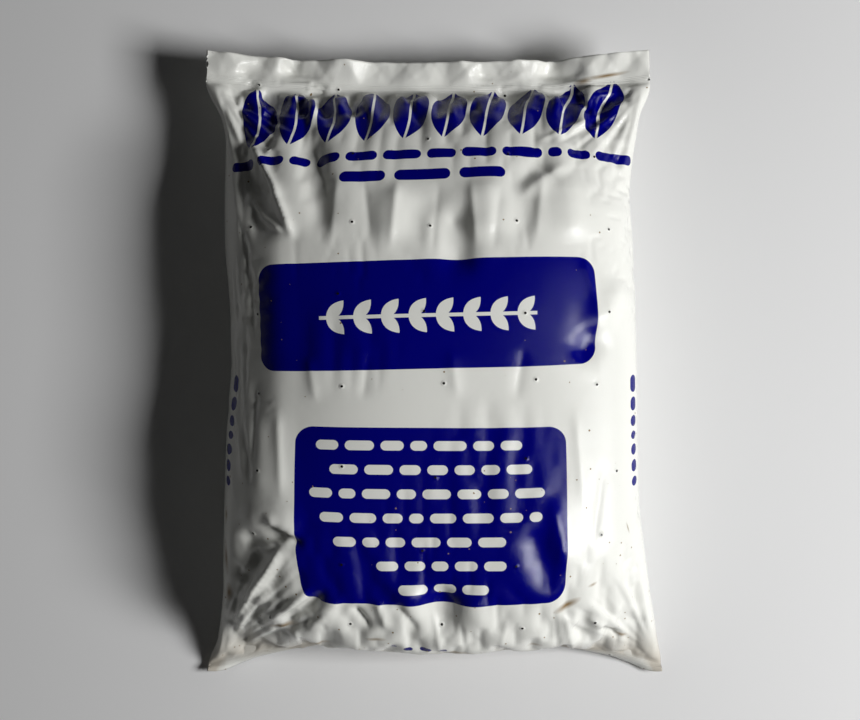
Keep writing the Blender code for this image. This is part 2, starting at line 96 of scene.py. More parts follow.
# Folds of the front, in mm on the plan from the sack's middle: start, end, breadth, and height, which is
# below 0 for a furrow. The broad, the sharp and the crisp ones are raised on ever finer grids.
BROAD_FOLDS = (
    ((24, 143), (29, 71), 12, -9),
    ((-34, 166), (-44, 103), 18, 5),
    ((53, 171), (58, 108), 18, 6),
    ((97, 166), (89, 103), 14, -5),
    ((136, 176), (141, 108), 20, 5),
    ((-5, 156), (-10, 103), 14, -4),
    ((-126, 229), (-105, 113), 13, -9),
    ((-186, 185), (-163, 108), 14, -8),
    ((10, -232), (12, -280), 13, -10),
    ((-17, -232), (-27, -271), 14, 6),
    ((41, -242), (48, -275), 16, 5),
    ((100, -178), (118, -234), 12, -5),
    ((-192, -189), (-134, -186), 12, -10),
    ((-188, -166), (-126, -172), 13, 6),
    ((163, 18), (146, -11), 12, -5),
    ((190, 71), (163, 18), 12, 6),
    ((74, 159), (123, 197), 13, -5),
    ((-175, -57), (-163, -154), 16, 5),
    ((-152, 122), (-151, -44), 15, 3.5),
    ((-151, -20), (-146, -172), 13, 3),
)
SHARP_FOLDS = (
    ((-182, 216), (-151, 152), 8, 5),
    ((-158, 168), (-137, 110), 8, 5),
    ((-194, 204), (-162, 140), 9, -4),
    ((-182, 160), (-150, 118), 8, 3),
    ((-163, -165), (-129, -186), 4, 5),
    ((-157, -175), (-124, -194), 4, -5),
    ((-177, -196), (-136, -189), 5, 5),
    ((-138, -190), (-199, -271), 6, 9),
    ((-143, -210), (-184, -271), 6, -5),
    ((-155, -234), (-196, -275), 5, 7),
    ((-163, -190), (-202, -251), 7, -6),
    ((-114, -232), (-163, -271), 6, 7),
    ((-102, -237), (-146, -273), 7, -5),
    ((-85, -243), (-126, -278), 7, 5),
    ((-76, -253), (-58, -276), 5, -7),
    ((-53, -246), (-41, -275), 6, 5),
    ((-36, -251), (-11, -278), 5, -5),
    ((168, -271), (192, -286), 5, -7),
    ((155, -261), (184, -275), 6, 5),
    ((141, -271), (155, -280), 6, -4),
    ((-135, 265), (-130, 242), 5, -7),
    ((-124, 265), (-117, 242), 5, 5),
    ((-113, 267), (-102, 242), 5, -8),
    ((-97, 267), (-91, 245), 5, 5),
    ((-82, 269), (-76, 242), 6, -8),
    ((-170, 273), (-163, 253), 5, -5),
    ((148, 271), (165, 249), 6, -7),
    ((126, 267), (132, 249), 5, 4),
    ((184, 268), (161, 232), 8, -7),
    ((160, 232), (131, 214), 9, -3),
    ((198, 261), (169, 234), 7, 5),
    ((87, 151), (138, 190), 8, 4),
    ((119, -149), (132, -217), 8, 4),
)

# Folds of the top skirt
SKIRT_FOLDS = (
    ((-152, 304), (-108, 272), 13, -11),
    ((-196, 300), (-178, 276), 9, -7),
    ((44, 296), (92, 273), 11, -8),
    ((100, 296), (60, 274), 8, 4),
    ((108, 296), (164, 282), 13, -10),
    ((140, 274), (210, 279), 8, 4),
    ((160, 286), (210, 284), 8, -4),
)

# Crisp folds of the front, narrower than the others
CRISP_FOLDS = (
    ((-182, 216), (-153, 158), 3.4, 4.5),
    ((-159, 170), (-137, 112), 3.4, 4.5),
    ((-183, 162), (-162, 130), 2.8, 3.5),
    ((-168, 136), (-146, 116), 2.8, 3.5),
    ((-176, 200), (-160, 150), 4.5, -2.5),
    ((-199, 190), (-188, 120), 4, 2),
    ((-193, 140), (-176, 60), 4, -2),
    ((-120, 212), (-104, 160), 5, -2.5),
    ((-92, 175), (-98, 100), 6, 2),
    ((-66, 170), (-58, 96), 6, -2),
    ((-33, 168), (-40, 98), 5, 2.4),
    ((8, 165), (2, 90), 6, -2),
    ((40, 168), (46, 100), 5, 2.2),
    ((70, 160), (62, 96), 6, -2),
    ((112, 176), (104, 104), 6, 2.2),
    ((84, 205), (132, 168), 5, -2),
    ((-120, -8), (-112, -54), 6, 1.8),
    ((-60, -6), (-66, -52), 7, -1.8),
    ((20, -4), (26, -50), 7, 1.8),
    ((92, -2), (84, -52), 6, -1.8),
    ((150, 92), (168, 30), 5, 2),
    ((-150, -60), (-146, -150), 5, 2),
    ((-172, -30), (-176, -120), 4, -2),
    ((142, -60), (150, -160), 6, 1.8),
    ((172, -110), (160, -190), 5, -1.8),
)

# Fans of fine creases, which run from an ear to a line on the front: the ear, the line's two ends, how many
CREASE_FANS = (
    ((-214, -296), (-174, -176), (-60, -252), 12),
    ((224, -294), (206, -190), (112, -262), 9),
    ((-216, 272), (-196, 165), (-96, 222), 11),
    ((214, 268), (197, 165), (100, 212), 9),
)

# Streaks down a flank: both ends of the line they start on, their heading, how far they run, how many
FLANK_STREAKS = (
    ((-199, 205), (-176, 190), (0.10, -1.0), (40, 95), 9),
    ((-201, 110), (-178, 95), (0.07, -1.0), (40, 90), 8),
    ((-202, 20), (-180, 5), (0.03, -1.0), (40, 90), 7),
    ((-203, -70), (-182, -80), (0.12, -1.0), (35, 80), 7),
)

# Pleats in a row along a seal or the bottom end: both ends of the row, how far they run in, how many
PLEAT_ROWS = (
    ((-200, 270), (200, 266), (14, 40), 30),
    ((-150, -298), (170, -298), (14, 50), 9),
)

# The print, in mm on the film from the front's middle
UPPER_PANEL = {"left": -167, "right": 157, "bottom": 7, "top": 116, "corner": 17, "lean": 0.028}
LOWER_PANEL = {"left": -127, "right": 124, "bottom": -226, "top": -51, "corner": 17, "lean": 0.0}
SHORT_BAR = {"bottom": 200, "top": 212, "corner": 6, "lean": 0.024}
SHORT_BARS = ({"left": -88, "right": -42}, {"left": -33, "right": 23}, {"left": 32, "right": 78})
LEAF_BORDER = {
    "pitch": 40.7, "width": 37, "height": 82, "bluntness": 2.6, "rib": 2.6, "slant": 0.16, "middle": 290,
    "lean": 0.03, "reach": 203,
}
# Its leaves slant by so many degrees, and their middles lie root * long / 2 from the stem's
SPRIG = {
    "left": -106, "right": 98, "middle": 60, "lean": 0.028, "stem": 3.6,
    "pitch": 25.5, "long": 26, "wide": 12, "slant": 50, "root": 1.15, "gap": 1.0,
}

# Rows of dashes: where the lowest starts, their pitch, a dash's height and usual length, the gap between
# two, and the rows' lengths and middle
LONG_LINE = {
    "bottom": 221, "pitch": 18, "height": 11, "word": 36, "gap": 6, "lengths": (412,), "middle": 0,
    "lean": 0.024,
}
SMALL_LINES = {
    "bottom": -222, "pitch": 23.6, "height": 9.5, "word": 27, "gap": 6,
    "lengths": (66, 138, 168, 216, 210, 186, 210), "middle": 0, "lean": 0.0,
}
EDGE_LINE = {
    "bottom": -289, "pitch": 9, "height": 6, "word": 15, "gap": 7, "lengths": (62,), "middle": -16,
    "lean": 0.0,
}
SIDE_LINE = {"pitch": 16, "height": 11, "word": 19, "gap": 5, "lengths": (124,), "lean": 0.0}
SIDE_LINES = (
    {"bottom": -213, "middle": -63},
    {"bottom": 197, "middle": -70},
)
ROW_SHIFT = 17.3  # how many dashes one row's pattern is ahead of the next one's, so that no two are alike

# Smears of soil: middle across and up, half length, half width, turn in radians, strength
SOIL_SMEARS = (
    (127, -232, 22, 6.5, 0.45, 1.0),
    (152, -214, 8, 3, 0.2, 0.7),
    (190, -165, 10, 1.6, -1.3, 0.8),
    (184, 342, 36, 4, 0.12, 1.0),
    (160, 337, 16, 6, 0.3, 0.8),
    (-152, -262, 26, 6, 0.3, 0.9),
    (-209, -158, 14, 6, 1.5, 0.8),
    (-214, -245, 18, 7, 1.4, 0.9),
    (-60, -268, 16, 4, 0.1, 0.7),
    (-212, -205, 30, 6, 1.5, 0.8),
    (-120, -290, 24, 6, 0.1, 0.8),
    (18, -292, 30, 6, 0.0, 0.7),
    (186, -288, 14, 5, -0.4, 0.8),
    (96, -282, 12, 4, 0.2, 0.6),
)

# Vents pierced through the film, in mm: their pitch, their radius, and the rim pushed up round each. The
# mesh has no opening; each vent is a near-black disc, soil darkened by painted shade.
VENT_PITCH = 83.0
VENT_RADIUS = 1.3
VENT_RIM_INNER = 1.2
VENT_RIM_OUTER = 3.2
VENT_RIM_HEIGHT = 0.5

# The heat seal's band, in mm beyond the seal's line
WELD_MIDDLE = 3.5
WELD_HALF_WIDTH = 4.0
WELD_DEPTH = 0.25
WELD_RIB_PITCH = 1.7
WELD_RIB_HEIGHT = 0.10

# Patterns, in features to the metre of film: clouds of 71 mm in its white, crumbs of soil of 3.8 mm, a cell
# for a loose grain each 4.8 mm, patches of gloss of 22 mm, crinkles of 12 mm, and slack of 26 mm
CLOUDS = 14.0
CRUMBS = 260.0
GRAINS = 210.0
GLOSS_PATCHES = 45.0
CRINKLES = 85.0
SLACK = 38.0

# Zigzags along the top seal, in mm of film: height, length of a radian, lag and lean
SEAL_ZIGZAGS = (
    (2.6, 23.0, 0.6, -1.3),
    (1.7, 9.5, 2.1, 2.2),
    (1.5, 14.0, 4.0, -2.6),
)
SKIRT_RISE = 3.7  # how much higher the top skirt's cut edge lies than its seal, in mm

# The camera, in metres: its distance from its aim, its tilt from straight down, and the width of its view
# where the photograph's scale holds, which is SCALE_LEVEL nearer to it than its aim
CAMERA_DISTANCE = 2.6
CAMERA_TILT = math.radians(7.0)
CAMERA_AIM = (-0.0035, -0.0075, 0.09)
VIEW_WIDTH = 0.860 * 0.970
SCALE_LEVEL = 0.07
SENSOR_WIDTH = 36.0  # mm

# How the film relaxes
RANDOM_SEED = 21
SEED_LENGTH = 7.0  # of the waves it starts from, in pitches of the grid
SEED_WAVES = 14
CARRIED_ON = 0.9  # share of its last move
PUSHED_OUT = 0.5  # share of the depth it has sunk in by, each step
STRETCH_HOLD = 1.0
SHEAR_HOLD = 0.4
STEPS_PER_KINK = 20  # steps between two looks at where it is kinked
FLOOR_CLEARANCE = 0.4  # lowest height of the film's middle, in mm
SMOOTHING = 4  # reach of the means that are taken over the finest grid, in points


def soft_step(value, start, end):
    """0 below start, 1 above end, and a smooth S between them."""
    share = np.clip((value - start) / (end - start), 0.0, 1.0)
    return share * share * (3.0 - 2.0 * share)


def quarter(start, end, bulge_y, bulge_z):
    """A quarter of a superellipse from start, where it is steep, to end, where it is level."""
    turn = np.linspace(0.0, 0.5 * math.pi, 400)
    y = end[0] + (start[0] - end[0]) * np.cos(turn) ** (2.0 / bulge_y)
    z = start[1] + (end[1] - start[1]) * np.sin(turn) ** (2.0 / bulge_z)
    return np.stack([y, z], axis=1)


def front_profile():
    """The film down the middle of the front, bottom seal to top seal, as (y, z): it comes out from under the
    bottom end, rises over it, and falls to the top seal."""
    seal = (BOTTOM_SEAL_TUCK - BOTTOM_BULGE_REACH, BOTTOM_SEAL_HEIGHT)
    bulge = (-BOTTOM_BULGE_REACH, BOTTOM_BULGE_HEIGHT)
    curl = np.linspace(1.35, 0.0, 60)
    under_y = bulge[0] + (seal[0] - bulge[0]) * (1.0 - np.cos(curl)) / (1.0 - math.cos(curl[0]))
    under_z = bulge[1] + (seal[1] - bulge[1]) * np.sin(curl) / math.sin(curl[0])
    bottom_end = quarter(bulge, (0.0, FILLED_HEIGHT), 3.6, 2.0)
    top_end = quarter((TOP_SEAL_REACH, TOP_SEAL_HEIGHT), (0.0, FILLED_HEIGHT), 2.9, 1.45)
    return np.concatenate([np.stack([under_y, under_z], axis=1)[:-1], bottom_end[:-1], top_end[::-1]])


def back_profile():
    """The film down the middle of the back, bottom seal to top seal, as (y, z), lowest at -FLOOR_PRESS."""
    seal = (BOTTOM_SEAL_TUCK - BOTTOM_BULGE_REACH, BOTTOM_SEAL_HEIGHT)
    bottom_end = quarter(seal, (0.0, -FLOOR_PRESS), 5.0, 1.5)
    top_end = quarter((TOP_SEAL_REACH, TOP_SEAL_HEIGHT), (0.0, -FLOOR_PRESS), 3.4, 1.7)
    return np.concatenate([bottom_end[:-1], top_end[::-1]])


def at_shares(line, shares):
    """Points of a line at shares of its length."""
    run = np.concatenate([[0.0], np.cumsum(np.linalg.norm(np.diff(line, axis=0), axis=1))])
    return np.stack([np.interp(shares * run[-1], run, column) for column in line.T], axis=1)


FRONT_LENGTH = float(np.linalg.norm(np.diff(front_profile(), axis=0), axis=1).sum())


def side_lines(along):
    """x of the left and the right side at shares of the length: the outline's points, smoothed."""
    up, left, right = np.array(OUTLINE, float).T
    low, high = -BOTTOM_BULGE_REACH - BOTTOM_EAR_LEAD, TOP_SEAL_REACH + TOP_EAR_LEAD
    fine = np.linspace(low, high, 300)
    window = np.hanning(19) / np.hanning(19).sum()
    sides = []
    for side in (left, right):
        line = np.interp(fine, up, side)
        padded = np.concatenate([2 * line[0] - line[9:0:-1], line, 2 * line[-1] - line[-2:-11:-1]])
        sides.append(np.interp(low + (high - low) * along, fine, np.convolve(padded, window, "valid")))
    return sides


def side_fold(along):
    """The fold line down each side, as (y, z)."""
    low = -BOTTOM_BULGE_REACH - BOTTOM_EAR_LEAD
    high = TOP_SEAL_REACH + TOP_EAR_LEAD
    z = SIDE_FOLD_HEIGHT * np.ones_like(along)
    z += (BOTTOM_EAR_HEIGHT - SIDE_FOLD_HEIGHT) * (1.0 - soft_step(along, 0.0, 0.17))
    z += (TOP_EAR_HEIGHT - SIDE_FOLD_HEIGHT) * soft_step(along, 0.9, 1.0)
    return np.stack([low + (high - low) * along, z], axis=1)


def cross_section(width, depth, fullness, front, across):
    """One cross-section of the front or the back, as (x, rise): rise is 0 at the side fold and 1 inside.

    rise = (1 - |x / width| ^ boxiness) ^ sharpness, at equal steps of film.
    """
    reach = np.sin(np.linspace(-0.5 * math.pi, 0.5 * math.pi, 501))
    boxiness = 2.1 + 1.0 * fullness if front else 2.4 + 2.0 * fullness
    sharpness = 1.15 - 0.64 * fullness
    rise = np.clip(1.0 - np.abs(reach) ** boxiness, 0.0, 1.0) ** sharpness
    line = np.stack([width * reach, depth * rise], axis=1)
    placed = at_shares(line, 0.5 + 0.5 * across)
    return placed[:, 0], placed[:, 1] / depth


def body_surface(across, along, front):
    """The film between the seals: edge(along) + rise * (middle(along) - edge(along)) over a grid."""
    middle = at_shares(front_profile() if front else back_profile(), along)
    edge = side_fold(along)
    left, right = side_lines(along)
    width = 0.5 * (right - left)
    fullness = np.clip(4.2 * np.minimum(along, 1.0 - along), 0.0, 1.0) ** 0.7
    depth = np.maximum(np.linalg.norm(middle - edge, axis=1), 1.0)
    rows = zip(width, depth, fullness)
    sections = [cross_section(wide, deep, full, front, across) for wide, deep, full in rows]
    x = np.stack([section[0] for section in sections]) + 0.5 * (left + right)[:, None]
    rise = np.stack([section[1] for section in sections])
    points = edge[:, None] + rise[..., None] * (middle - edge)[:, None]
    return np.concatenate([x[..., None], points], axis=2)


def zigzag(turn):
    """A wave with straight flanks, 2 / pi * asin(sin(turn)): its crests and troughs are creases."""
    return np.arcsin(np.sin(turn)) * 2.0 / math.pi


def seal_wave(film_x, reach):
    """How far the top seal and its skirt stand up or down, more towards the cut edge: the sum of
    height * zigzag(film_x / length + lag + lean * reach).

    The creases lean to one side or the other as they run out, and so cross in lozenges with flat facets.
    """
    ripple = 0.0
    for height, length, lag, lean in SEAL_ZIGZAGS:
        ripple = ripple + height * zigzag(film_x / length + lag + lean * reach)
    return ripple * (0.35 + 1.3 * reach)


def skirt(seal, across, rows, top):
    """Rows of film beyond a seal, each the seal's line moved on along the way it heads."""
    ear = np.abs(across) ** 6
    if top:
        heading = np.stack([0.0 * across, 1.0 + 0.0 * across, 0.12 - 0.1 * ear], axis=1)
    else:
        heading = np.stack([0.15 * ear * np.sign(across), 0.2 - 1.1 * ear, -1.0 + 0.8 * ear], axis=1)
    heading /= np.linalg.norm(heading, axis=1, keepdims=True)
    length = TOP_SKIRT + 0.0 * ear if top else BOTTOM_SKIRT * (1.0 - 0.6 * ear)
    share = np.linspace(0.0, 1.0, rows + 1)[1:, None, None]
    sheet = seal[None] + (heading * length[:, None])[None] * share
    if top:
        sheet[..., 2] += seal_wave(0.5 * LAY_FLAT_WIDTH * across, share[..., 0]) - seal_wave(
            0.5 * LAY_FLAT_WIDTH * across, 0.0
        )
    return sheet


def film_layout(pitch):
    """Columns of the front, and rows of the bottom skirt, the body and the top skirt, at a pitch of film."""
    columns = 2 * round(LAY_FLAT_WIDTH / pitch / 2)
    return columns, round(BOTTOM_SKIRT / pitch), round(FRONT_LENGTH / pitch), round(TOP_SKIRT / pitch)


def wrapped_film(pitch, front):
    """The front's or the back's film on a grid, rows from the bottom's cut edge to the top's."""
    columns, low, body, high = film_layout(pitch)
    across = np.linspace(-1.0, 1.0, columns + 1)
    along = np.linspace(0.0, 1.0, body + 1)
    points = body_surface(across, along, front)
    film_x = 0.5 * LAY_FLAT_WIDTH * across
    seal_share = 1.0 - soft_step((1.0 - along) * FRONT_LENGTH, 0.0, 60.0)
    points[..., 2] += seal_wave(film_x, 0.0)[None] * seal_share[:, None]
    seal = body_surface(across, along[[0, -1]], True)
    seal[1, :, 2] += seal_wave(film_x, 0.0)
    points[0], points[-1] = seal[0], seal[1]
    bottom = skirt(seal[0], across, low, False)[::-1]
    top = skirt(seal[1], across, high, True)
    return np.concatenate([bottom, points, top])


def fold(x, y, start, end, breadth, height):
    """One fold, a ridge, or a furrow below 0: height * taper * exp(-(distance / breadth) ^ 1.4)."""
    line = np.subtract(end, start)
    length = math.hypot(*line)
    unit = line / length
    run = ((x - start[0]) * unit[0] + (y - start[1]) * unit[1]) / length
    off = np.abs((y - start[1]) * unit[0] - (x - start[0]) * unit[1])
    taper = soft_step(run, -0.08, 0.25) * (1.0 - soft_step(run, 0.7, 1.08))
    return height * taper * np.exp(-((off / breadth) ** 1.4))


def fine_creases(rng):
    """Folds for the film's fine creases: rays of uneven length in each fan, and pleats along the seals.

    Ridges and furrows take turns, so that each crease has a facet on either side.
    """
    folds = []
    for ear, first, last, count in CREASE_FANS:
        for place in range(count):
            share = (place + rng.uniform(0.2, 0.8)) / count
            far = np.array(first) * (1 - share) + np.array(last) * share
            start, end = rng.uniform(0.04, 0.2), rng.uniform(0.75, 1.0)
            run = far - ear
            height = rng.uniform(0.9, 2.4) * (-1) ** place
            folds.append((ear + start * run, ear + end * run, rng.uniform(2.2, 3.6), height))
    for first, last, reach, count in PLEAT_ROWS:
        inward = -np.sign(first[1])
        for place in range(count):
            share = (place + rng.uniform(0.1, 0.9)) / count
            start = np.array(first) * (1 - share) + np.array(last) * share
            run = rng.uniform(*reach)
            end = start + (rng.uniform(-0.45, 0.45) * run, inward * run)
            folds.append((start, end, rng.uniform(2.2, 3.4), rng.uniform(0.9, 2.6) * (-1) ** place))
    for first, last, heading, reach, count in FLANK_STREAKS:
        for place in range(count):
            share = (place + rng.uniform(0.1, 0.9)) / count
            start = np.array(first) * (1 - share) + np.array(last) * share + (0.0, rng.uniform(-25, 25))
            end = start + np.array(heading) * rng.uniform(*reach)
            folds.append((start, end, rng.uniform(2.2, 3.8), rng.uniform(0.7, 1.6) * (-1) ** place))
    return folds


def outward(points):
    """Unit normals of a grid whose rows run along the sack and whose columns run across its front."""
    normal = np.cross(np.gradient(points, axis=1), np.gradient(points, axis=0))
    return normal / (np.linalg.norm(normal, axis=-1, keepdims=True) + 1e-9)


def waves(x, y, length, count, rng):
    """Smooth random relief of about one wave length: the mean of sines that run in random directions."""
    total = np.zeros_like(x)
    for _ in range(count):
        angle, phase = rng.uniform(0, 2 * math.pi, 2)
        scale = 2 * math.pi / (length * rng.uniform(0.7, 1.4))
        total += np.sin(scale * (x * math.cos(angle) + y * math.sin(angle)) + phase)
    return total / math.sqrt(count)


def pull(a, b, rest, stiffness):
    """Moves that bring each pair of points to its rest length."""
    gap = b - a
    length = np.sqrt(np.einsum("ijk,ijk->ij", gap, gap)) + 1e-6
    return gap * (0.5 * stiffness * (length - rest) / length)[..., None]


def keep_pairs(points, first, second, rest, stiffness):
    """Brings two equal blocks of the grid to a rest length, point by point."""
    a, b = points[first], points[second]
    move = pull(a, b, rest, stiffness)
    a += move
    b -= move


def keep_lengths(points, down, right, rest, stiffness):
    """Holds points that lie (down, right) apart at their rest lengths, in rounds that share no point."""
    height, width = points.shape[:2]
    reach = abs(right) or down
    for first in range(2 * reach):
        count = len(range(first, (width if right else height) - reach, 2 * reach))
        if not count:
            continue
        a = slice(first, first + 2 * reach * (count - 1) + 1, 2 * reach)
        b = slice(a.start + reach, a.stop + reach, 2 * reach)
        part = (slice(None), a) if right else (a,)
        firm = stiffness[part] if isinstance(stiffness, np.ndarray) else stiffness
        if right == 0:
            keep_pairs(points, (a, slice(None)), (b, slice(None)), rest[part], firm)
            continue
        upper, lower = slice(0, height - down), slice(down, height)
        rows = (upper, lower) if right > 0 else (lower, upper)
        keep_pairs(points, (rows[0], a), (rows[1], b), rest[part], firm)


def film_ties(surface, spare_x, spare_y):
    """What holds the film together, as (down, right, rest lengths) for neighbours along, across and aslant,
    and for second neighbours, whose ties are the film's stiffness against bending.

    A rest length is the surface's own one times 1 + the share of spare film there.
    """

    def length(down, right):
        height, width = surface.shape[:2]
        a = surface[: height - down, : width - abs(right)]
        b = surface[down:, abs(right) :]
        if right < 0:
            a, b = surface[down:, : width + right], surface[: height - down, -right:]
        return np.linalg.norm(b - a, axis=2)

    rest_x = length(0, 1) * (1 + spare_x[:, :-1])
    rest_y = length(1, 0) * (1 + spare_y[:-1])
    spare = 1 + 0.5 * (spare_x + spare_y)[:-1, :-1]
    ties = [
        (0, 1, rest_x),
        (1, 0, rest_y),
        (1, 1, length(1, 1) * spare),
        (1, -1, length(1, -1) * spare),
        (0, 2, rest_x[:, :-1] + rest_x[:, 1:]),
        (2, 0, rest_y[:-1] + rest_y[1:]),
    ]
    return [(down, right, rest.astype(np.float32)) for down, right, rest in ties]


def stiffness_by_kink(points, bend, crease):
    """The film's stiffness against bending across and along: bend / (1 + (kink / crease) ^ 2).

    A kink is the angle between neighbouring stretches. Film that is already kinked gives way, so that bends
    gather into creases with flat facets between them.
    """
    across = np.linalg.norm(points[:, :-2] - 2 * points[:, 1:-1] + points[:, 2:], axis=2)
    along = np.linalg.norm(points[:-2] - 2 * points[1:-1] + points[2:], axis=2)
    pitch = np.linalg.norm(points[0, 1] - points[0, 0])
    return [(bend / (1 + (kink / pitch / crease) ** 2)).astype(np.float32) for kink in (across, along)]


def relax(points, target, normal, ties, steps, soil, bending, welded):
    """Lets the film find its folds over the soil.

    Each step carries on the last move, draws every point to the soil's surface by a share of its height and
    by a steady press, pushes it out where it sinks in, and then restores the film's own lengths and its
    stiffness against bending.
    """
    before = points.copy()
    close, press, slip, sink = soil
    for step in range(steps):
        if step % STEPS_PER_KINK == 0:
            firm = [STRETCH_HOLD, STRETCH_HOLD, SHEAR_HOLD, SHEAR_HOLD] + stiffness_by_kink(points, *bending)
        moved = CARRIED_ON * (points - before)
        before = points.copy()
        points = points + moved
        off = points - target
        height = np.einsum("ijk,ijk->ij", off, normal)[..., None]
        sunk = np.where(height < -sink, -sink - height, 0.0)
        points += (PUSHED_OUT * sunk - close * height - np.where(height > 0, press, 0.0)) * normal
        points -= slip * (off - height * normal)
        for (down, right, rest), stiffness in zip(ties, firm):
            keep_lengths(points, down, right, rest, stiffness)
        weld(points, welded)
        points[..., 2] = np.maximum(points[..., 2], FLOOR_CLEARANCE)
    return points


def mates(columns):
    """For each column of the front, the tube's column that holds it and the one that a seal welds to it."""
    front = np.arange(columns // 2, 3 * columns // 2 + 1)
    return front, np.where(front >= columns, 3 * columns - front, columns - front)


def weld(points, rows):
    """Presses the front and the back together in these rows."""
    columns = (points.shape[1] - 1) // 2
    front, back = mates(columns)
    middle = 0.5 * (points[np.ix_(rows, front)] + points[np.ix_(rows, back)])
    points[np.ix_(rows, front)] = middle
    points[np.ix_(rows, back)] = middle
    points[rows, 0] = points[rows, -1]


def tube(front, back):
    """The front with half of the back at each side, as one grid of film cut open down the back's middle."""
    middle = front.shape[1] // 2
    left = back[:, 1 : middle + 1][:, ::-1]
    right = back[:, middle:-1][:, ::-1]
    return np.concatenate([left, front, right], axis=1)


def finer(points):
    """A grid with a new point between all neighbours, by columns then by rows: (9 (b + c) - a - d) / 16."""
    for axis in (1, 0):
        moved = np.moveaxis(points, axis, 0)
        ends = np.concatenate([2 * moved[:1] - moved[1:2], moved, 2 * moved[-1:] - moved[-2:-1]])
        between = (9 * (ends[1:-2] + ends[2:-1]) - ends[:-3] - ends[3:]) / 16
        merged = np.empty((2 * len(moved) - 1,) + moved.shape[1:], points.dtype)
        merged[0::2], merged[1::2] = moved, between
        points = np.moveaxis(merged, 0, axis)
    return np.ascontiguousarray(points)


def film_map(pitch, refined):
    """Film coordinates in mm of the tube's grid: across from the front's middle, and up from its middle."""
    columns, low, body, high = (count * refined for count in film_layout(pitch))
    pitch_x, pitch_y = LAY_FLAT_WIDTH / columns, FRONT_LENGTH / body
    film_x = np.arange(-columns, columns + 1) * pitch_x
    film_y = np.arange(-low, body + high + 1) * pitch_y - 0.5 * FRONT_LENGTH
    return np.meshgrid(film_x, film_y), (pitch_x, pitch_y), (low, body, high)


def folded(points, film_x, folds):
    """The film with these folds raised on its front, along its normals."""
    relief = np.zeros_like(film_x)
    for start, end, breadth, height in folds:
        relief += fold(points[..., 0], points[..., 1], start, end, breadth, height)
    relief = np.where(np.abs(film_x) < 0.5 * LAY_FLAT_WIDTH, relief, 0.0)
    return (points + outward(points) * relief[..., None]).astype(np.float32)


def soil_surface(pitch):
    """The wrapped film with a slow relief on its front, where the soil has settled unevenly."""
    wrapped = tube(wrapped_film(pitch, True), wrapped_film(pitch, False))
    (film_x, film_y), _, _ = film_map(pitch, 1)
    relief = 1.7 * np.cos(film_x / 41.0 + 0.7) * np.cos(film_y / 56.0)
    relief += 1.4 * np.cos(film_x / 68.0 - film_y / 83.0 + 1.3)
    front = (np.abs(film_x) < 0.5 * LAY_FLAT_WIDTH) & (np.abs(film_y) < 0.5 * FRONT_LENGTH)
    return (wrapped + outward(wrapped) * np.where(front, relief, 0.0)[..., None]).astype(np.float32)


def spare_film(film_x, film_y, rng):
    """Shares of spare film across and along: most by the seals and ears, and in slow patches elsewhere."""
    to_top = np.maximum(0.5 * FRONT_LENGTH - film_y, 0.0)
    to_bottom = np.maximum(film_y + 0.5 * FRONT_LENGTH, 0.0)
    to_side = np.abs(0.5 * LAY_FLAT_WIDTH - np.abs(film_x))
    to_ear = np.hypot(np.minimum(to_top, to_bottom), to_side)
    inside = soft_step(np.minimum(to_top, to_bottom), -1.0, 16.0)
    patch = np.clip(waves(film_x, film_y, 170.0, 9, rng), 0.0, 1.6)
    other = np.clip(waves(film_x, film_y, 150.0, 9, rng), 0.0, 1.6)
    ear = 0.05 * np.exp(-to_ear / 80.0)
    gathers = inside * (0.06 * np.exp(-to_top / 38.0) + 0.035 * np.exp(-to_bottom / 55.0))
    across = -0.004 + gathers + 0.012 * patch + inside * ear
    along = -0.004 + 0.022 * other * np.exp(-to_side / 45.0) + 0.004 * other + 0.6 * inside * ear
    back = np.abs(film_x) > 0.5 * LAY_FLAT_WIDTH
    return np.where(back, 0.4 * across, across), np.where(back, 0.4 * along, along)


def blurred(values, reach):
    """The mean over a square of grid points around each, worked out from running sums along each axis."""
    span = 2 * reach + 1
    for axis in (0, 1):
        before = np.repeat(values.take([0], axis), reach + 1, axis)
        after = np.repeat(values.take([-1], axis), reach, axis)
        total = np.cumsum(np.concatenate([before, values, after], axis), axis)
        count = values.shape[axis]
        values = (total.take(range(span, span + count), axis) - total.take(range(count), axis)) / span
    return values


def how_creased(points):
    """0 where the film is smooth and 1 where it is full of creases: the mean kink of its neighbourhood."""
    kink = np.zeros(points.shape[:2])
    kink[:, 1:-1] += np.linalg.norm(points[:, :-2] - 2 * points[:, 1:-1] + points[:, 2:], axis=2)
    kink[1:-1] += np.linalg.norm(points[:-2] - 2 * points[1:-1] + points[2:], axis=2)
    return np.clip(blurred(kink, SMOOTHING) * 2.2 - 0.1, 0.0, 1.0)


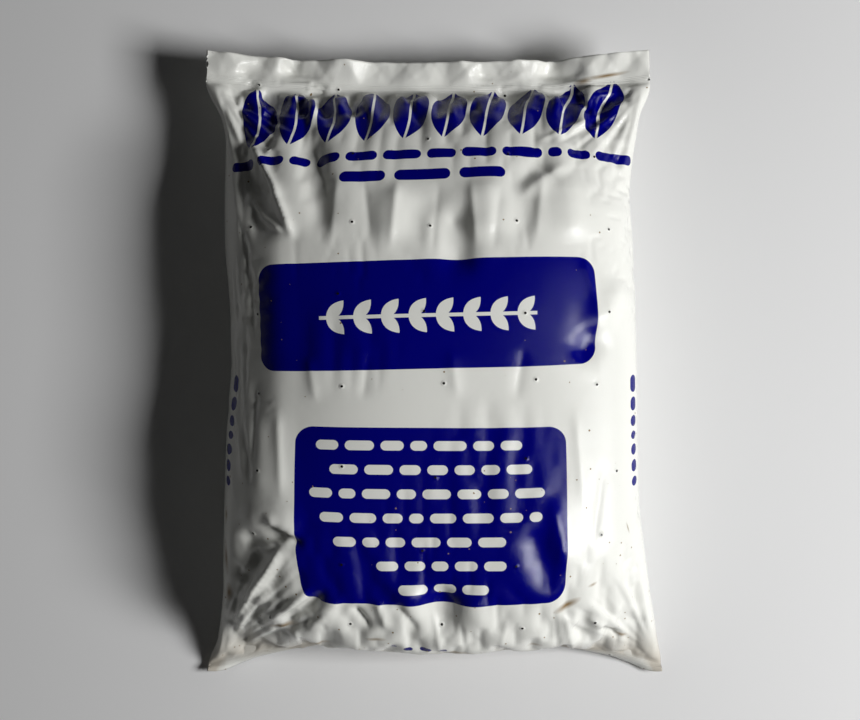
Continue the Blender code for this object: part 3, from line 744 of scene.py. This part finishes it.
def shape_top_skirt(points, film_x, seal_row):
    """Sets the top skirt's heights: the seal's own, smoothed, with the skirt's rise, zigzags and folds.

    Welded film is too stiff to gather, so it keeps its flat facets right out to its cut edge.
    """
    skirt_rows = points[seal_row:]
    off_middle = np.abs(film_x[seal_row:])
    sideways = np.minimum(off_middle, LAY_FLAT_WIDTH - off_middle) * np.sign(film_x[seal_row:])
    reach = np.linspace(0.0, 1.0, len(skirt_rows))[:, None]
    seal = np.repeat(skirt_rows[:1, :, 2], 2 * SMOOTHING + 1, axis=0)
    height = blurred(seal, SMOOTHING)[SMOOTHING] + SKIRT_RISE * reach
    height += seal_wave(sideways, reach) - seal_wave(sideways, 0.0)
    fine = 1.1 * zigzag(sideways / 6.1 + 1.9 * reach + 0.4)
    fine += 0.8 * zigzag(sideways / 4.3 - 2.4 * reach + 2.0)
    height += fine * reach
    for line in SKIRT_FOLDS:
        height += fold(skirt_rows[..., 0], skirt_rows[..., 1], *line) * soft_step(reach, 0.0, 0.6)
    share = soft_step(reach, 0.0, 0.45)
    skirt_rows[..., 2] += share * (height - skirt_rows[..., 2])


# One line per round of relaxing: the folds put in, the share of the spare film let out, the height of the
# waves that it starts from, the steps, the soil's hold (its draw, its press, how fast film slides back, and
# how far it gives way), and the stiffness against bending, with the kink that halves it
ROUNDS = (
    (BROAD_FOLDS, 1.00, 1.2, 200, (0.003, 0.0, 0.01, 6.0), (0.25, 0.6)),
    (SHARP_FOLDS + SKIRT_FOLDS, 0.50, 0.4, 220, (0.003, 0.006, 0.01, 2.0), (0.50, 0.10)),
    (CRISP_FOLDS, 0.25, 0.15, 140, (0.006, 0.006, 0.02, 1.0), (0.50, 0.06)),
)


def film_points():
    """The whole film, relaxed, in mm, in rounds that each halve the grid's pitch."""
    rng = np.random.default_rng(RANDOM_SEED)
    points = soil_surface(TUBE_PITCH)
    for level, (folds, share, height, steps, soil, bending) in enumerate(ROUNDS):
        if level:
            points = finer(points)
        (film_x, film_y), pitch, (low, body, high) = film_map(TUBE_PITCH, 2**level)
        points = folded(points, film_x, [*folds, *fine_creases(rng)] if level == 2 else folds)
        welded = np.r_[0 : low + 1, low + body : low + body + high + 1]
        normal = outward(points).astype(np.float32)
        seed = height * waves(film_x, 0.6 * film_y, SEED_LENGTH * pitch[0], SEED_WAVES, rng)
        spare_x, spare_y = (share * spare for spare in spare_film(film_x, film_y, rng))
        ties = film_ties(points, spare_x, spare_y)
        start = (points + normal * seed[..., None]).astype(np.float32)
        points = relax(start, points, normal, ties, steps, soil, bending, welded)
    shape_top_skirt(points, film_x, low + body)
    points[..., :2] += TO_ORIGIN
    return points, film_x, film_y, (low, body, high)


def cells(index):
    """The four corners of each cell of a grid, in turn round the cell."""
    return np.stack([index[:-1, :-1], index[:-1, 1:], index[1:, 1:], index[1:, :-1]], axis=-1)


def back_faces(index, front):
    """The back's faces, of two rows and two columns each, less what the front covers.

    The column of cells next to the front has five corners each, to share the front's every point.
    """
    faces = []
    for side in (slice(0, front[0] + 1, 2), slice(front[-1], index.shape[1], 2)):
        quad = cells(index[::2, side])
        if side.start == 0:
            edge, quad = quad[:, -1], quad[:, :-1]
            halfway = index[1::2, front[0]]
            joined = np.stack([edge[:, 0], edge[:, 1], halfway, edge[:, 2], edge[:, 3]], axis=-1)
        else:
            edge, quad = quad[:, 0], quad[:, 1:]
            halfway = index[1::2, front[-1]]
            joined = np.stack([edge[:, 0], edge[:, 1], edge[:, 2], edge[:, 3], halfway], axis=-1)
        faces += quad.reshape(-1, 4).tolist() + joined.tolist()
    return faces


def end_faces(index, front, back):
    """The faces that close the cut edges of both skirts, between the front and the back."""
    faces = []
    for row, turned in ((0, False), (-1, True)):
        over, under = index[row, front], index[row, back][::2]
        for place in range(len(under) - 1):
            two = 2 * place
            loop = [under[place], under[place + 1], over[two + 2], over[two + 1], over[two]]
            loop = list(dict.fromkeys(int(corner) for corner in loop))
            faces.append(loop[::-1] if turned else loop)
    return faces


def film_mesh(name, points, film_x, film_y, skirts, creasing):
    """A closed skin from the tube's grid. The back, which is smooth, has every second row and column.

    Its UV map holds the film's own coordinates in metres, and its attribute how creased the film is.
    """
    low, body, high = skirts
    rows, columns = points.shape[:2]
    half = (columns - 1) // 2
    beyond_seal = np.ones(rows)
    beyond_seal[low : low + body + 1] = 0.0
    to_side = np.abs(np.abs(film_x) - 0.5 * LAY_FLAT_WIDTH)
    spread = 0.5 * FILM_THICKNESS * beyond_seal[:, None] * soft_step(to_side, 0.0, 5.0)
    points = points + outward(points) * spread[..., None]

    index = np.arange(rows * columns).reshape(rows, columns)
    index[:, -1] = index[:, 0]
    front, back = mates(half)
    faces = cells(index[:, front]).reshape(-1, 4).tolist()
    faces += back_faces(index, front) + end_faces(index, front, back)

    corners = np.concatenate([np.asarray(face) for face in faces])
    used = np.unique(corners)
    renumber = np.zeros(rows * columns, int)
    renumber[used] = np.arange(len(used))
    placed = (points.reshape(-1, 3)[used] * MM).tolist()
    mesh = bpy.data.meshes.new(name)
    mesh.from_pydata(placed, [], [[renumber[corner] for corner in face] for face in faces])
    film = np.stack([film_x, film_y], axis=-1).reshape(-1, 2)
    mesh.uv_layers.new(name="film").data.foreach_set("uv", (film[corners] * MM).astype(np.float32).ravel())
    attribute = mesh.attributes.new("creasing", "FLOAT", "POINT")
    attribute.data.foreach_set("value", creasing.reshape(-1)[used].astype(np.float32))
    mesh.shade_smooth()
    return mesh


def linear(code):
    """An sRGB hex colour as linear red, green, blue and alpha."""
    parts = [int(code[place : place + 2], 16) / 255 for place in (1, 3, 5)]
    colour = [part / 12.92 if part <= 0.04045 else ((part + 0.055) / 1.055) ** 2.4 for part in parts]
    return (*colour, 1.0)


def output_in_use(node):
    """The first output that a node's settings leave in use."""
    return next(output for output in node.outputs if output.enabled)


def add_node(tree, kind, *inputs, **settings):
    """A node with its settings. Its inputs, in order, are values, nodes, outputs, or None to skip one."""
    node = tree.nodes.new("ShaderNode" + kind)
    for name, value in settings.items():
        setattr(node, name, value)
    sockets = [socket for socket in node.inputs if socket.enabled]
    for socket, given in zip(sockets, inputs):
        if isinstance(given, bpy.types.Node):
            given = output_in_use(given)
        if isinstance(given, bpy.types.NodeSocket):
            tree.links.new(given, socket)
        elif given is not None:
            socket.default_value = given
    return node


def maths(tree, operation, *inputs):
    """A node that does one sum."""
    return add_node(tree, "Math", *inputs, operation=operation)


def mix(tree, share, first, second):
    """The first colour where share is 0, and the second where it is 1."""
    return add_node(tree, "Mix", share, first, second, data_type="RGBA")


def printed_field(tree, u, v, field):
    """1 in a rectangle with round corners: length(max(|place - middle| - half size + corner, 0)) < corner.

    It rises by lean for each metre across, as the other printed forms do.
    """
    leaning = maths(tree, "MULTIPLY_ADD", u, -field["lean"], v)
    spans = []
    for place, low, high in ((u, field["left"], field["right"]), (leaning, field["bottom"], field["top"])):
        off = maths(tree, "SUBTRACT", place, 0.5 * (low + high) * MM)
        off = maths(tree, "ABSOLUTE", off)
        off = maths(tree, "SUBTRACT", off, (0.5 * (high - low) - field["corner"]) * MM)
        spans.append(maths(tree, "MAXIMUM", off, 0.0))
    far = add_node(tree, "VectorMath", add_node(tree, "CombineXYZ", *spans), operation="LENGTH")
    return maths(tree, "LESS_THAN", far.outputs["Value"], field["corner"] * MM)


def leaf_row(tree, u, v, row):
    """1 in a row of leaves, |x| < half width * (1 - |y / half height| ^ bluntness), less a rib down each."""
    leaning = maths(tree, "MULTIPLY_ADD", u, -row["lean"], v)
    up = maths(tree, "SUBTRACT", leaning, row["middle"] * MM)
    slanted = maths(tree, "MULTIPLY_ADD", up, -row["slant"], u)
    x = maths(tree, "WRAP", slanted, row["pitch"] * MM, 0.0)
    x = maths(tree, "SUBTRACT", x, 0.5 * row["pitch"] * MM)
    x = maths(tree, "ABSOLUTE", x)
    share = maths(tree, "DIVIDE", up, 0.5 * row["height"] * MM)
    share = maths(tree, "ABSOLUTE", share)
    curve = maths(tree, "POWER", share, row["bluntness"])
    half = 0.5 * row["width"] * MM
    width = maths(tree, "MULTIPLY_ADD", curve, -half, half)
    leaf = maths(tree, "LESS_THAN", x, width)
    rib = maths(tree, "GREATER_THAN", x, 0.5 * row["rib"] * MM)
    off_middle = maths(tree, "ABSOLUTE", u)
    inside = maths(tree, "LESS_THAN", off_middle, row["reach"] * MM)
    leaf = maths(tree, "MULTIPLY", leaf, rib)
    return maths(tree, "MULTIPLY", leaf, inside)


def dash_lines(tree, u, v, lines):
    """1 in rows of round-ended dashes of uneven length, centred, and counted from the bottom.

    A dash is all that lies within half its height of a line, which ends half a height and half a gap short
    of its cell's ends.
    """
    leaning = maths(tree, "MULTIPLY_ADD", u, -lines["lean"], v)
    place = maths(tree, "SUBTRACT", leaning, lines["bottom"] * MM)
    place = maths(tree, "DIVIDE", place, lines["pitch"] * MM)
    row = maths(tree, "FLOOR", place)
    across = maths(tree, "SUBTRACT", place, row)
    across = maths(tree, "SUBTRACT", across, 0.5)
    across = maths(tree, "MULTIPLY", across, lines["pitch"] * MM)
    run = maths(tree, "DIVIDE", u, lines["word"] * MM)
    run = maths(tree, "MULTIPLY_ADD", row, ROW_SHIFT, run)
    word = add_node(tree, "TexVoronoi", run, 1.0, voronoi_dimensions="1D", feature="DISTANCE_TO_EDGE")
    inward = maths(tree, "MULTIPLY", word, lines["word"] * MM)
    radius = 0.5 * lines["height"] * MM
    short = maths(tree, "SUBTRACT", radius + 0.5 * lines["gap"] * MM, inward)
    short = maths(tree, "MAXIMUM", short, 0.0)
    far = add_node(tree, "VectorMath", add_node(tree, "CombineXYZ", short, across), operation="LENGTH")
    dash = maths(tree, "LESS_THAN", far.outputs["Value"], radius)
    reach = 0.0
    for number, length in enumerate(lines["lengths"]):
        in_row = maths(tree, "COMPARE", row, number, 0.5)
        reach = maths(tree, "MULTIPLY_ADD", in_row, 0.5 * length * MM, reach)
    nearest = add_node(tree, "TexVoronoi", run, 1.0, voronoi_dimensions="1D")
    core = maths(tree, "MULTIPLY_ADD", row, -ROW_SHIFT, nearest.outputs["W"])
    core = maths(tree, "MULTIPLY", core, lines["word"] * MM)
    centred = maths(tree, "SUBTRACT", core, lines["middle"] * MM)
    centred = maths(tree, "ABSOLUTE", centred)
    inside = maths(tree, "LESS_THAN", centred, reach)
    return maths(tree, "MULTIPLY", dash, inside)


def sprig(tree, u, v, form):
    """1 in a straight sprig: a stem, and slanted leaves in pairs.

    A leaf is |n| < wide / 2 * (1 - (2 t / long - root) ^ 2), at t along it and n beside its middle.
    """
    leaning = maths(tree, "MULTIPLY_ADD", u, -form["lean"], v)
    up = maths(tree, "SUBTRACT", leaning, form["middle"] * MM)
    up = maths(tree, "ABSOLUTE", up)
    start = maths(tree, "SUBTRACT", u, form["left"] * MM)
    cell = maths(tree, "WRAP", start, form["pitch"] * MM, 0.0)
    slant = math.radians(form["slant"])
    half_wide = 0.5 * form["wide"] * MM
    along = maths(tree, "MULTIPLY", cell, math.cos(slant))
    along = maths(tree, "MULTIPLY_ADD", up, math.sin(slant), along)
    beside = maths(tree, "MULTIPLY", cell, math.sin(slant))
    beside = maths(tree, "MULTIPLY_ADD", up, -math.cos(slant), beside)
    beside = maths(tree, "SUBTRACT", beside, half_wide + form["gap"] * MM)
    beside = maths(tree, "ABSOLUTE", beside)
    share = maths(tree, "MULTIPLY_ADD", along, 2.0 / (form["long"] * MM), -form["root"])
    curve = maths(tree, "MULTIPLY", share, share)
    width = maths(tree, "MULTIPLY_ADD", curve, -half_wide, half_wide)
    leaf = maths(tree, "LESS_THAN", beside, width)
    stem = maths(tree, "LESS_THAN", up, 0.5 * form["stem"] * MM)
    both = maths(tree, "MAXIMUM", leaf, stem)
    half = 0.5 * (form["right"] - form["left"]) * MM
    off = maths(tree, "SUBTRACT", start, half)
    off = maths(tree, "ABSOLUTE", off)
    inside = maths(tree, "LESS_THAN", off, half)
    return maths(tree, "MULTIPLY", both, inside)


def soil_smear(tree, u, v, grain, smear):
    """A soft ellipse of soil, broken up by grain: a step of grain - 0.8 * length(place / half sizes)."""
    middle_u, middle_v, half_long, half_wide, turn, strength = smear
    place = add_node(tree, "CombineXYZ", u, v)
    turned = add_node(
        tree, "Mapping", place, (middle_u * MM, middle_v * MM, 0.0), (0.0, 0.0, turn),
        (half_long * MM, half_wide * MM, 1.0), vector_type="TEXTURE",
    )
    far = add_node(tree, "VectorMath", turned, operation="LENGTH")
    near = maths(tree, "MULTIPLY_ADD", far.outputs["Value"], -0.8, grain)
    return add_node(tree, "MapRange", near, -0.25, 0.25, 0.0, strength)


def ink_cover(tree, u, v):
    """1 where the film is printed navy: in any of the forms, less the white ones in the two panels."""
    forms = [printed_field(tree, u, v, panel) for panel in (UPPER_PANEL, LOWER_PANEL)]
    forms += [printed_field(tree, u, v, {**SHORT_BAR, **bar}) for bar in SHORT_BARS]
    forms.append(leaf_row(tree, u, v, LEAF_BORDER))
    forms += [dash_lines(tree, v, u, {**SIDE_LINE, **lines}) for lines in SIDE_LINES]
    forms += [dash_lines(tree, u, v, lines) for lines in (LONG_LINE, EDGE_LINE)]
    inked = forms[0]
    for form in forms[1:]:
        inked = maths(tree, "MAXIMUM", inked, form)
    for bare in (dash_lines(tree, u, v, SMALL_LINES), sprig(tree, u, v, SPRIG)):
        inked = maths(tree, "SUBTRACT", inked, bare)
        inked.use_clamp = True
    return inked


def soil_cover(tree, uv, u, v, grain, creased):
    """How much soil is on the film: smears, dust where it is creased by the bottom end, and loose grains."""
    low_edge = add_node(tree, "MapRange", v, -0.23, -0.33, -0.9, -0.18)
    low_edge = maths(tree, "MULTIPLY_ADD", creased, 0.5, low_edge)
    low_edge = maths(tree, "MULTIPLY_ADD", grain, 0.7, low_edge)
    dirt = add_node(tree, "MapRange", low_edge, 0.2, 0.75, 0.0, 0.75)
    for smear in SOIL_SMEARS:
        dirt = maths(tree, "MAXIMUM", dirt, soil_smear(tree, u, v, grain, smear))

    cell = add_node(tree, "TexVoronoi", uv, GRAINS, voronoi_dimensions="2D")
    drawn = add_node(tree, "SeparateXYZ", cell.outputs["Color"])
    least = add_node(tree, "MapRange", v, -0.3, -0.05, 0.96, 0.995)
    chosen = maths(tree, "GREATER_THAN", drawn.outputs[0], least)
    size = maths(tree, "MULTIPLY_ADD", drawn.outputs[1], 0.16, 0.05)
    loose = maths(tree, "LESS_THAN", cell.outputs["Distance"], size)
    loose = maths(tree, "MULTIPLY", loose, chosen)
    return maths(tree, "MAXIMUM", dirt, loose)


def distance_from_vent(tree, uv):
    """The distance to the nearest vent's middle, in metres. The vents stray a little from a square grid."""
    moved = add_node(tree, "Mapping", uv, (0.012, 0.023, 0.0), (0.0, 0.0, 0.0), (1.0, 1.0, 1.0))
    pitch = VENT_PITCH * MM
    vents = add_node(tree, "TexVoronoi", moved, 1.0 / pitch, None, None, None, 0.3, voronoi_dimensions="2D")
    return maths(tree, "MULTIPLY", vents.outputs["Distance"], pitch)


def fine_relief(tree, uv, v, creased, dirt, from_vent):
    """The film's finest relief, in metres: crinkles where it is creased, slack elsewhere, the heat seals'
    ribbed bands, the vents' rims, and the soil's own thickness."""
    crinkle = add_node(tree, "TexNoise", uv, None, CRINKLES, 2.0, 0.45, None, 0.8)
    crinkle = maths(tree, "SUBTRACT", crinkle, 0.5)
    crinkle = maths(tree, "ABSOLUTE", crinkle)
    strength = maths(tree, "MULTIPLY_ADD", creased, 1.5 * MM, 0.02 * MM)
    height = maths(tree, "MULTIPLY", crinkle, strength)
    slow = add_node(tree, "TexNoise", uv, None, SLACK, 1.0)
    height = maths(tree, "MULTIPLY_ADD", slow, 0.35 * MM, height)

    beyond = maths(tree, "ABSOLUTE", v)
    beyond = maths(tree, "SUBTRACT", beyond, 0.5 * FRONT_LENGTH * MM)
    in_weld = maths(tree, "COMPARE", beyond, WELD_MIDDLE * MM, WELD_HALF_WIDTH * MM)
    ribs = maths(tree, "MULTIPLY", beyond, 2 * math.pi / (WELD_RIB_PITCH * MM))
    ribs = maths(tree, "SINE", ribs)
    ribs = maths(tree, "MULTIPLY", ribs, WELD_RIB_HEIGHT * MM)
    ribs = maths(tree, "ADD", ribs, -WELD_DEPTH * MM)
    height = maths(tree, "MULTIPLY_ADD", ribs, in_weld, height)

    rim = (VENT_RIM_INNER * MM, VENT_RIM_OUTER * MM, VENT_RIM_HEIGHT * MM, 0.0)
    height = maths(tree, "ADD", height, add_node(tree, "MapRange", from_vent, *rim))
    return maths(tree, "MULTIPLY_ADD", dirt, 0.25 * MM, height)


def film_material():
    """White low-density polythene, blown as a tube and printed in navy: a soft gloss, crinkled where it is
    creased, with soil dust in the folds and a grain of dirt here and there."""
    material = bpy.data.materials.new("printed low-density polythene film")
    material.use_nodes = True
    tree = material.node_tree
    shader = tree.nodes["Principled BSDF"]
    shader.inputs["IOR"].default_value = 1.51
    shader.inputs["Specular IOR Level"].default_value = 0.32  # what slip dust leaves of the film's gloss
    uv = add_node(tree, "UVMap", uv_map="film")
    place = add_node(tree, "SeparateXYZ", uv)
    u, v = place.outputs[0], place.outputs[1]
    creased = add_node(tree, "Attribute", attribute_name="creasing").outputs["Fac"]
    grain = add_node(tree, "TexNoise", uv, None, CRUMBS, 5.0, 0.65)
    grain = add_node(tree, "MapRange", grain, 0.3, 0.75, 0.0, 0.75)
    dirt = soil_cover(tree, uv, u, v, grain, creased)
    from_vent = distance_from_vent(tree, uv)

    cloudy = add_node(tree, "TexNoise", uv, None, CLOUDS, 3.0)
    cloudy = add_node(tree, "MapRange", cloudy, 0.35, 0.7, 0.0, 1.0)
    white = mix(tree, cloudy, linear("#eeeeea"), linear("#e2e3da"))
    printed = mix(tree, ink_cover(tree, u, v), white, linear("#000074"))
    soil = mix(tree, grain, linear("#a58a60"), linear("#33261a"))
    dirty = mix(tree, dirt, printed, soil)
    # A near-black disc at each vent: the soil seen through it, darkened further by painted shade of the
    # hole, as the film has no opening there
    vent_soil_and_shade = maths(tree, "LESS_THAN", from_vent, VENT_RADIUS * MM)
    final = mix(tree, vent_soil_and_shade, dirty, linear("#15120f"))
    tree.links.new(output_in_use(final), shader.inputs["Base Color"])

    rough = add_node(tree, "TexNoise", uv, None, GLOSS_PATCHES, 4.0)
    rough = add_node(tree, "MapRange", rough, 0.3, 0.7, 0.12, 0.18)
    rough = maths(tree, "MULTIPLY_ADD", dirt, 0.5, rough)
    tree.links.new(rough.outputs[0], shader.inputs["Roughness"])

    height = fine_relief(tree, uv, v, creased, dirt, from_vent)
    bump = add_node(tree, "Bump", 1.0, 1.0, None, height)
    tree.links.new(bump.outputs[0], shader.inputs["Normal"])
    return material


def add_floor():
    """A pale floor that runs out of sight."""
    mesh = bpy.data.meshes.new("floor")
    reach = 12.0
    corners = [(-reach, -reach, 0), (reach, -reach, 0), (reach, reach, 0), (-reach, reach, 0)]
    mesh.from_pydata(corners, [], [(0, 1, 2, 3)])
    floor = bpy.data.objects.new("floor", mesh)
    bpy.context.scene.collection.objects.link(floor)
    material = bpy.data.materials.new("pale matt floor")
    material.use_nodes = True
    shader = material.node_tree.nodes["Principled BSDF"]
    shader.inputs["Base Color"].default_value = linear("#e6e6e6")
    shader.inputs["Roughness"].default_value = 0.9
    mesh.materials.append(material)


def add_lamp(name, place, size, power):
    """A square soft lamp aimed at the middle of the sack."""
    data = bpy.data.lights.new(name, "AREA")
    data.size = size
    data.energy = power
    lamp = bpy.data.objects.new(name, data)
    lamp.location = place
    to_sack = Vector((0, 0, 0.5 * FILLED_HEIGHT * MM)) - Vector(place)
    lamp.rotation_euler = to_sack.to_track_quat("-Z", "Y").to_euler()
    bpy.context.scene.collection.objects.link(lamp)


def add_camera():
    """Looks down on the front, a little from the bottom end."""
    data = bpy.data.cameras.new("camera")
    data.sensor_fit = "HORIZONTAL"
    data.sensor_width = SENSOR_WIDTH
    data.lens = SENSOR_WIDTH * (CAMERA_DISTANCE - SCALE_LEVEL) / VIEW_WIDTH
    camera = bpy.data.objects.new("camera", data)
    backwards = Vector((0.0, -math.sin(CAMERA_TILT), math.cos(CAMERA_TILT)))
    camera.location = Vector(CAMERA_AIM) + CAMERA_DISTANCE * backwards
    camera.rotation_euler = (CAMERA_TILT, 0.0, 0.0)
    data.clip_end = 50.0
    bpy.context.scene.collection.objects.link(camera)
    bpy.context.scene.camera = camera


def main():
    points, film_x, film_y, skirts = film_points()
    creasing = how_creased(points)
    mesh = film_mesh("filled_film_sack", points, film_x, film_y, skirts, creasing)
    sack = bpy.data.objects.new("filled_film_sack", mesh)
    bpy.context.scene.collection.objects.link(sack)
    mesh.materials.append(film_material())
    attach(sack, "root")
    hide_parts("filled_bag")
    add_floor()
    add_camera()
    add_lamp("window at the right", (2.1, -0.5, 1.75), 1.0, 78)
    world = bpy.data.worlds.new("studio")
    bpy.context.scene.world = world
    world.use_nodes = True
    world.node_tree.nodes["Background"].inputs[0].default_value = linear("#ffffff")
    world.node_tree.nodes["Background"].inputs[1].default_value = 0.02
    bpy.context.scene.view_settings.view_transform = "Standard"


main()
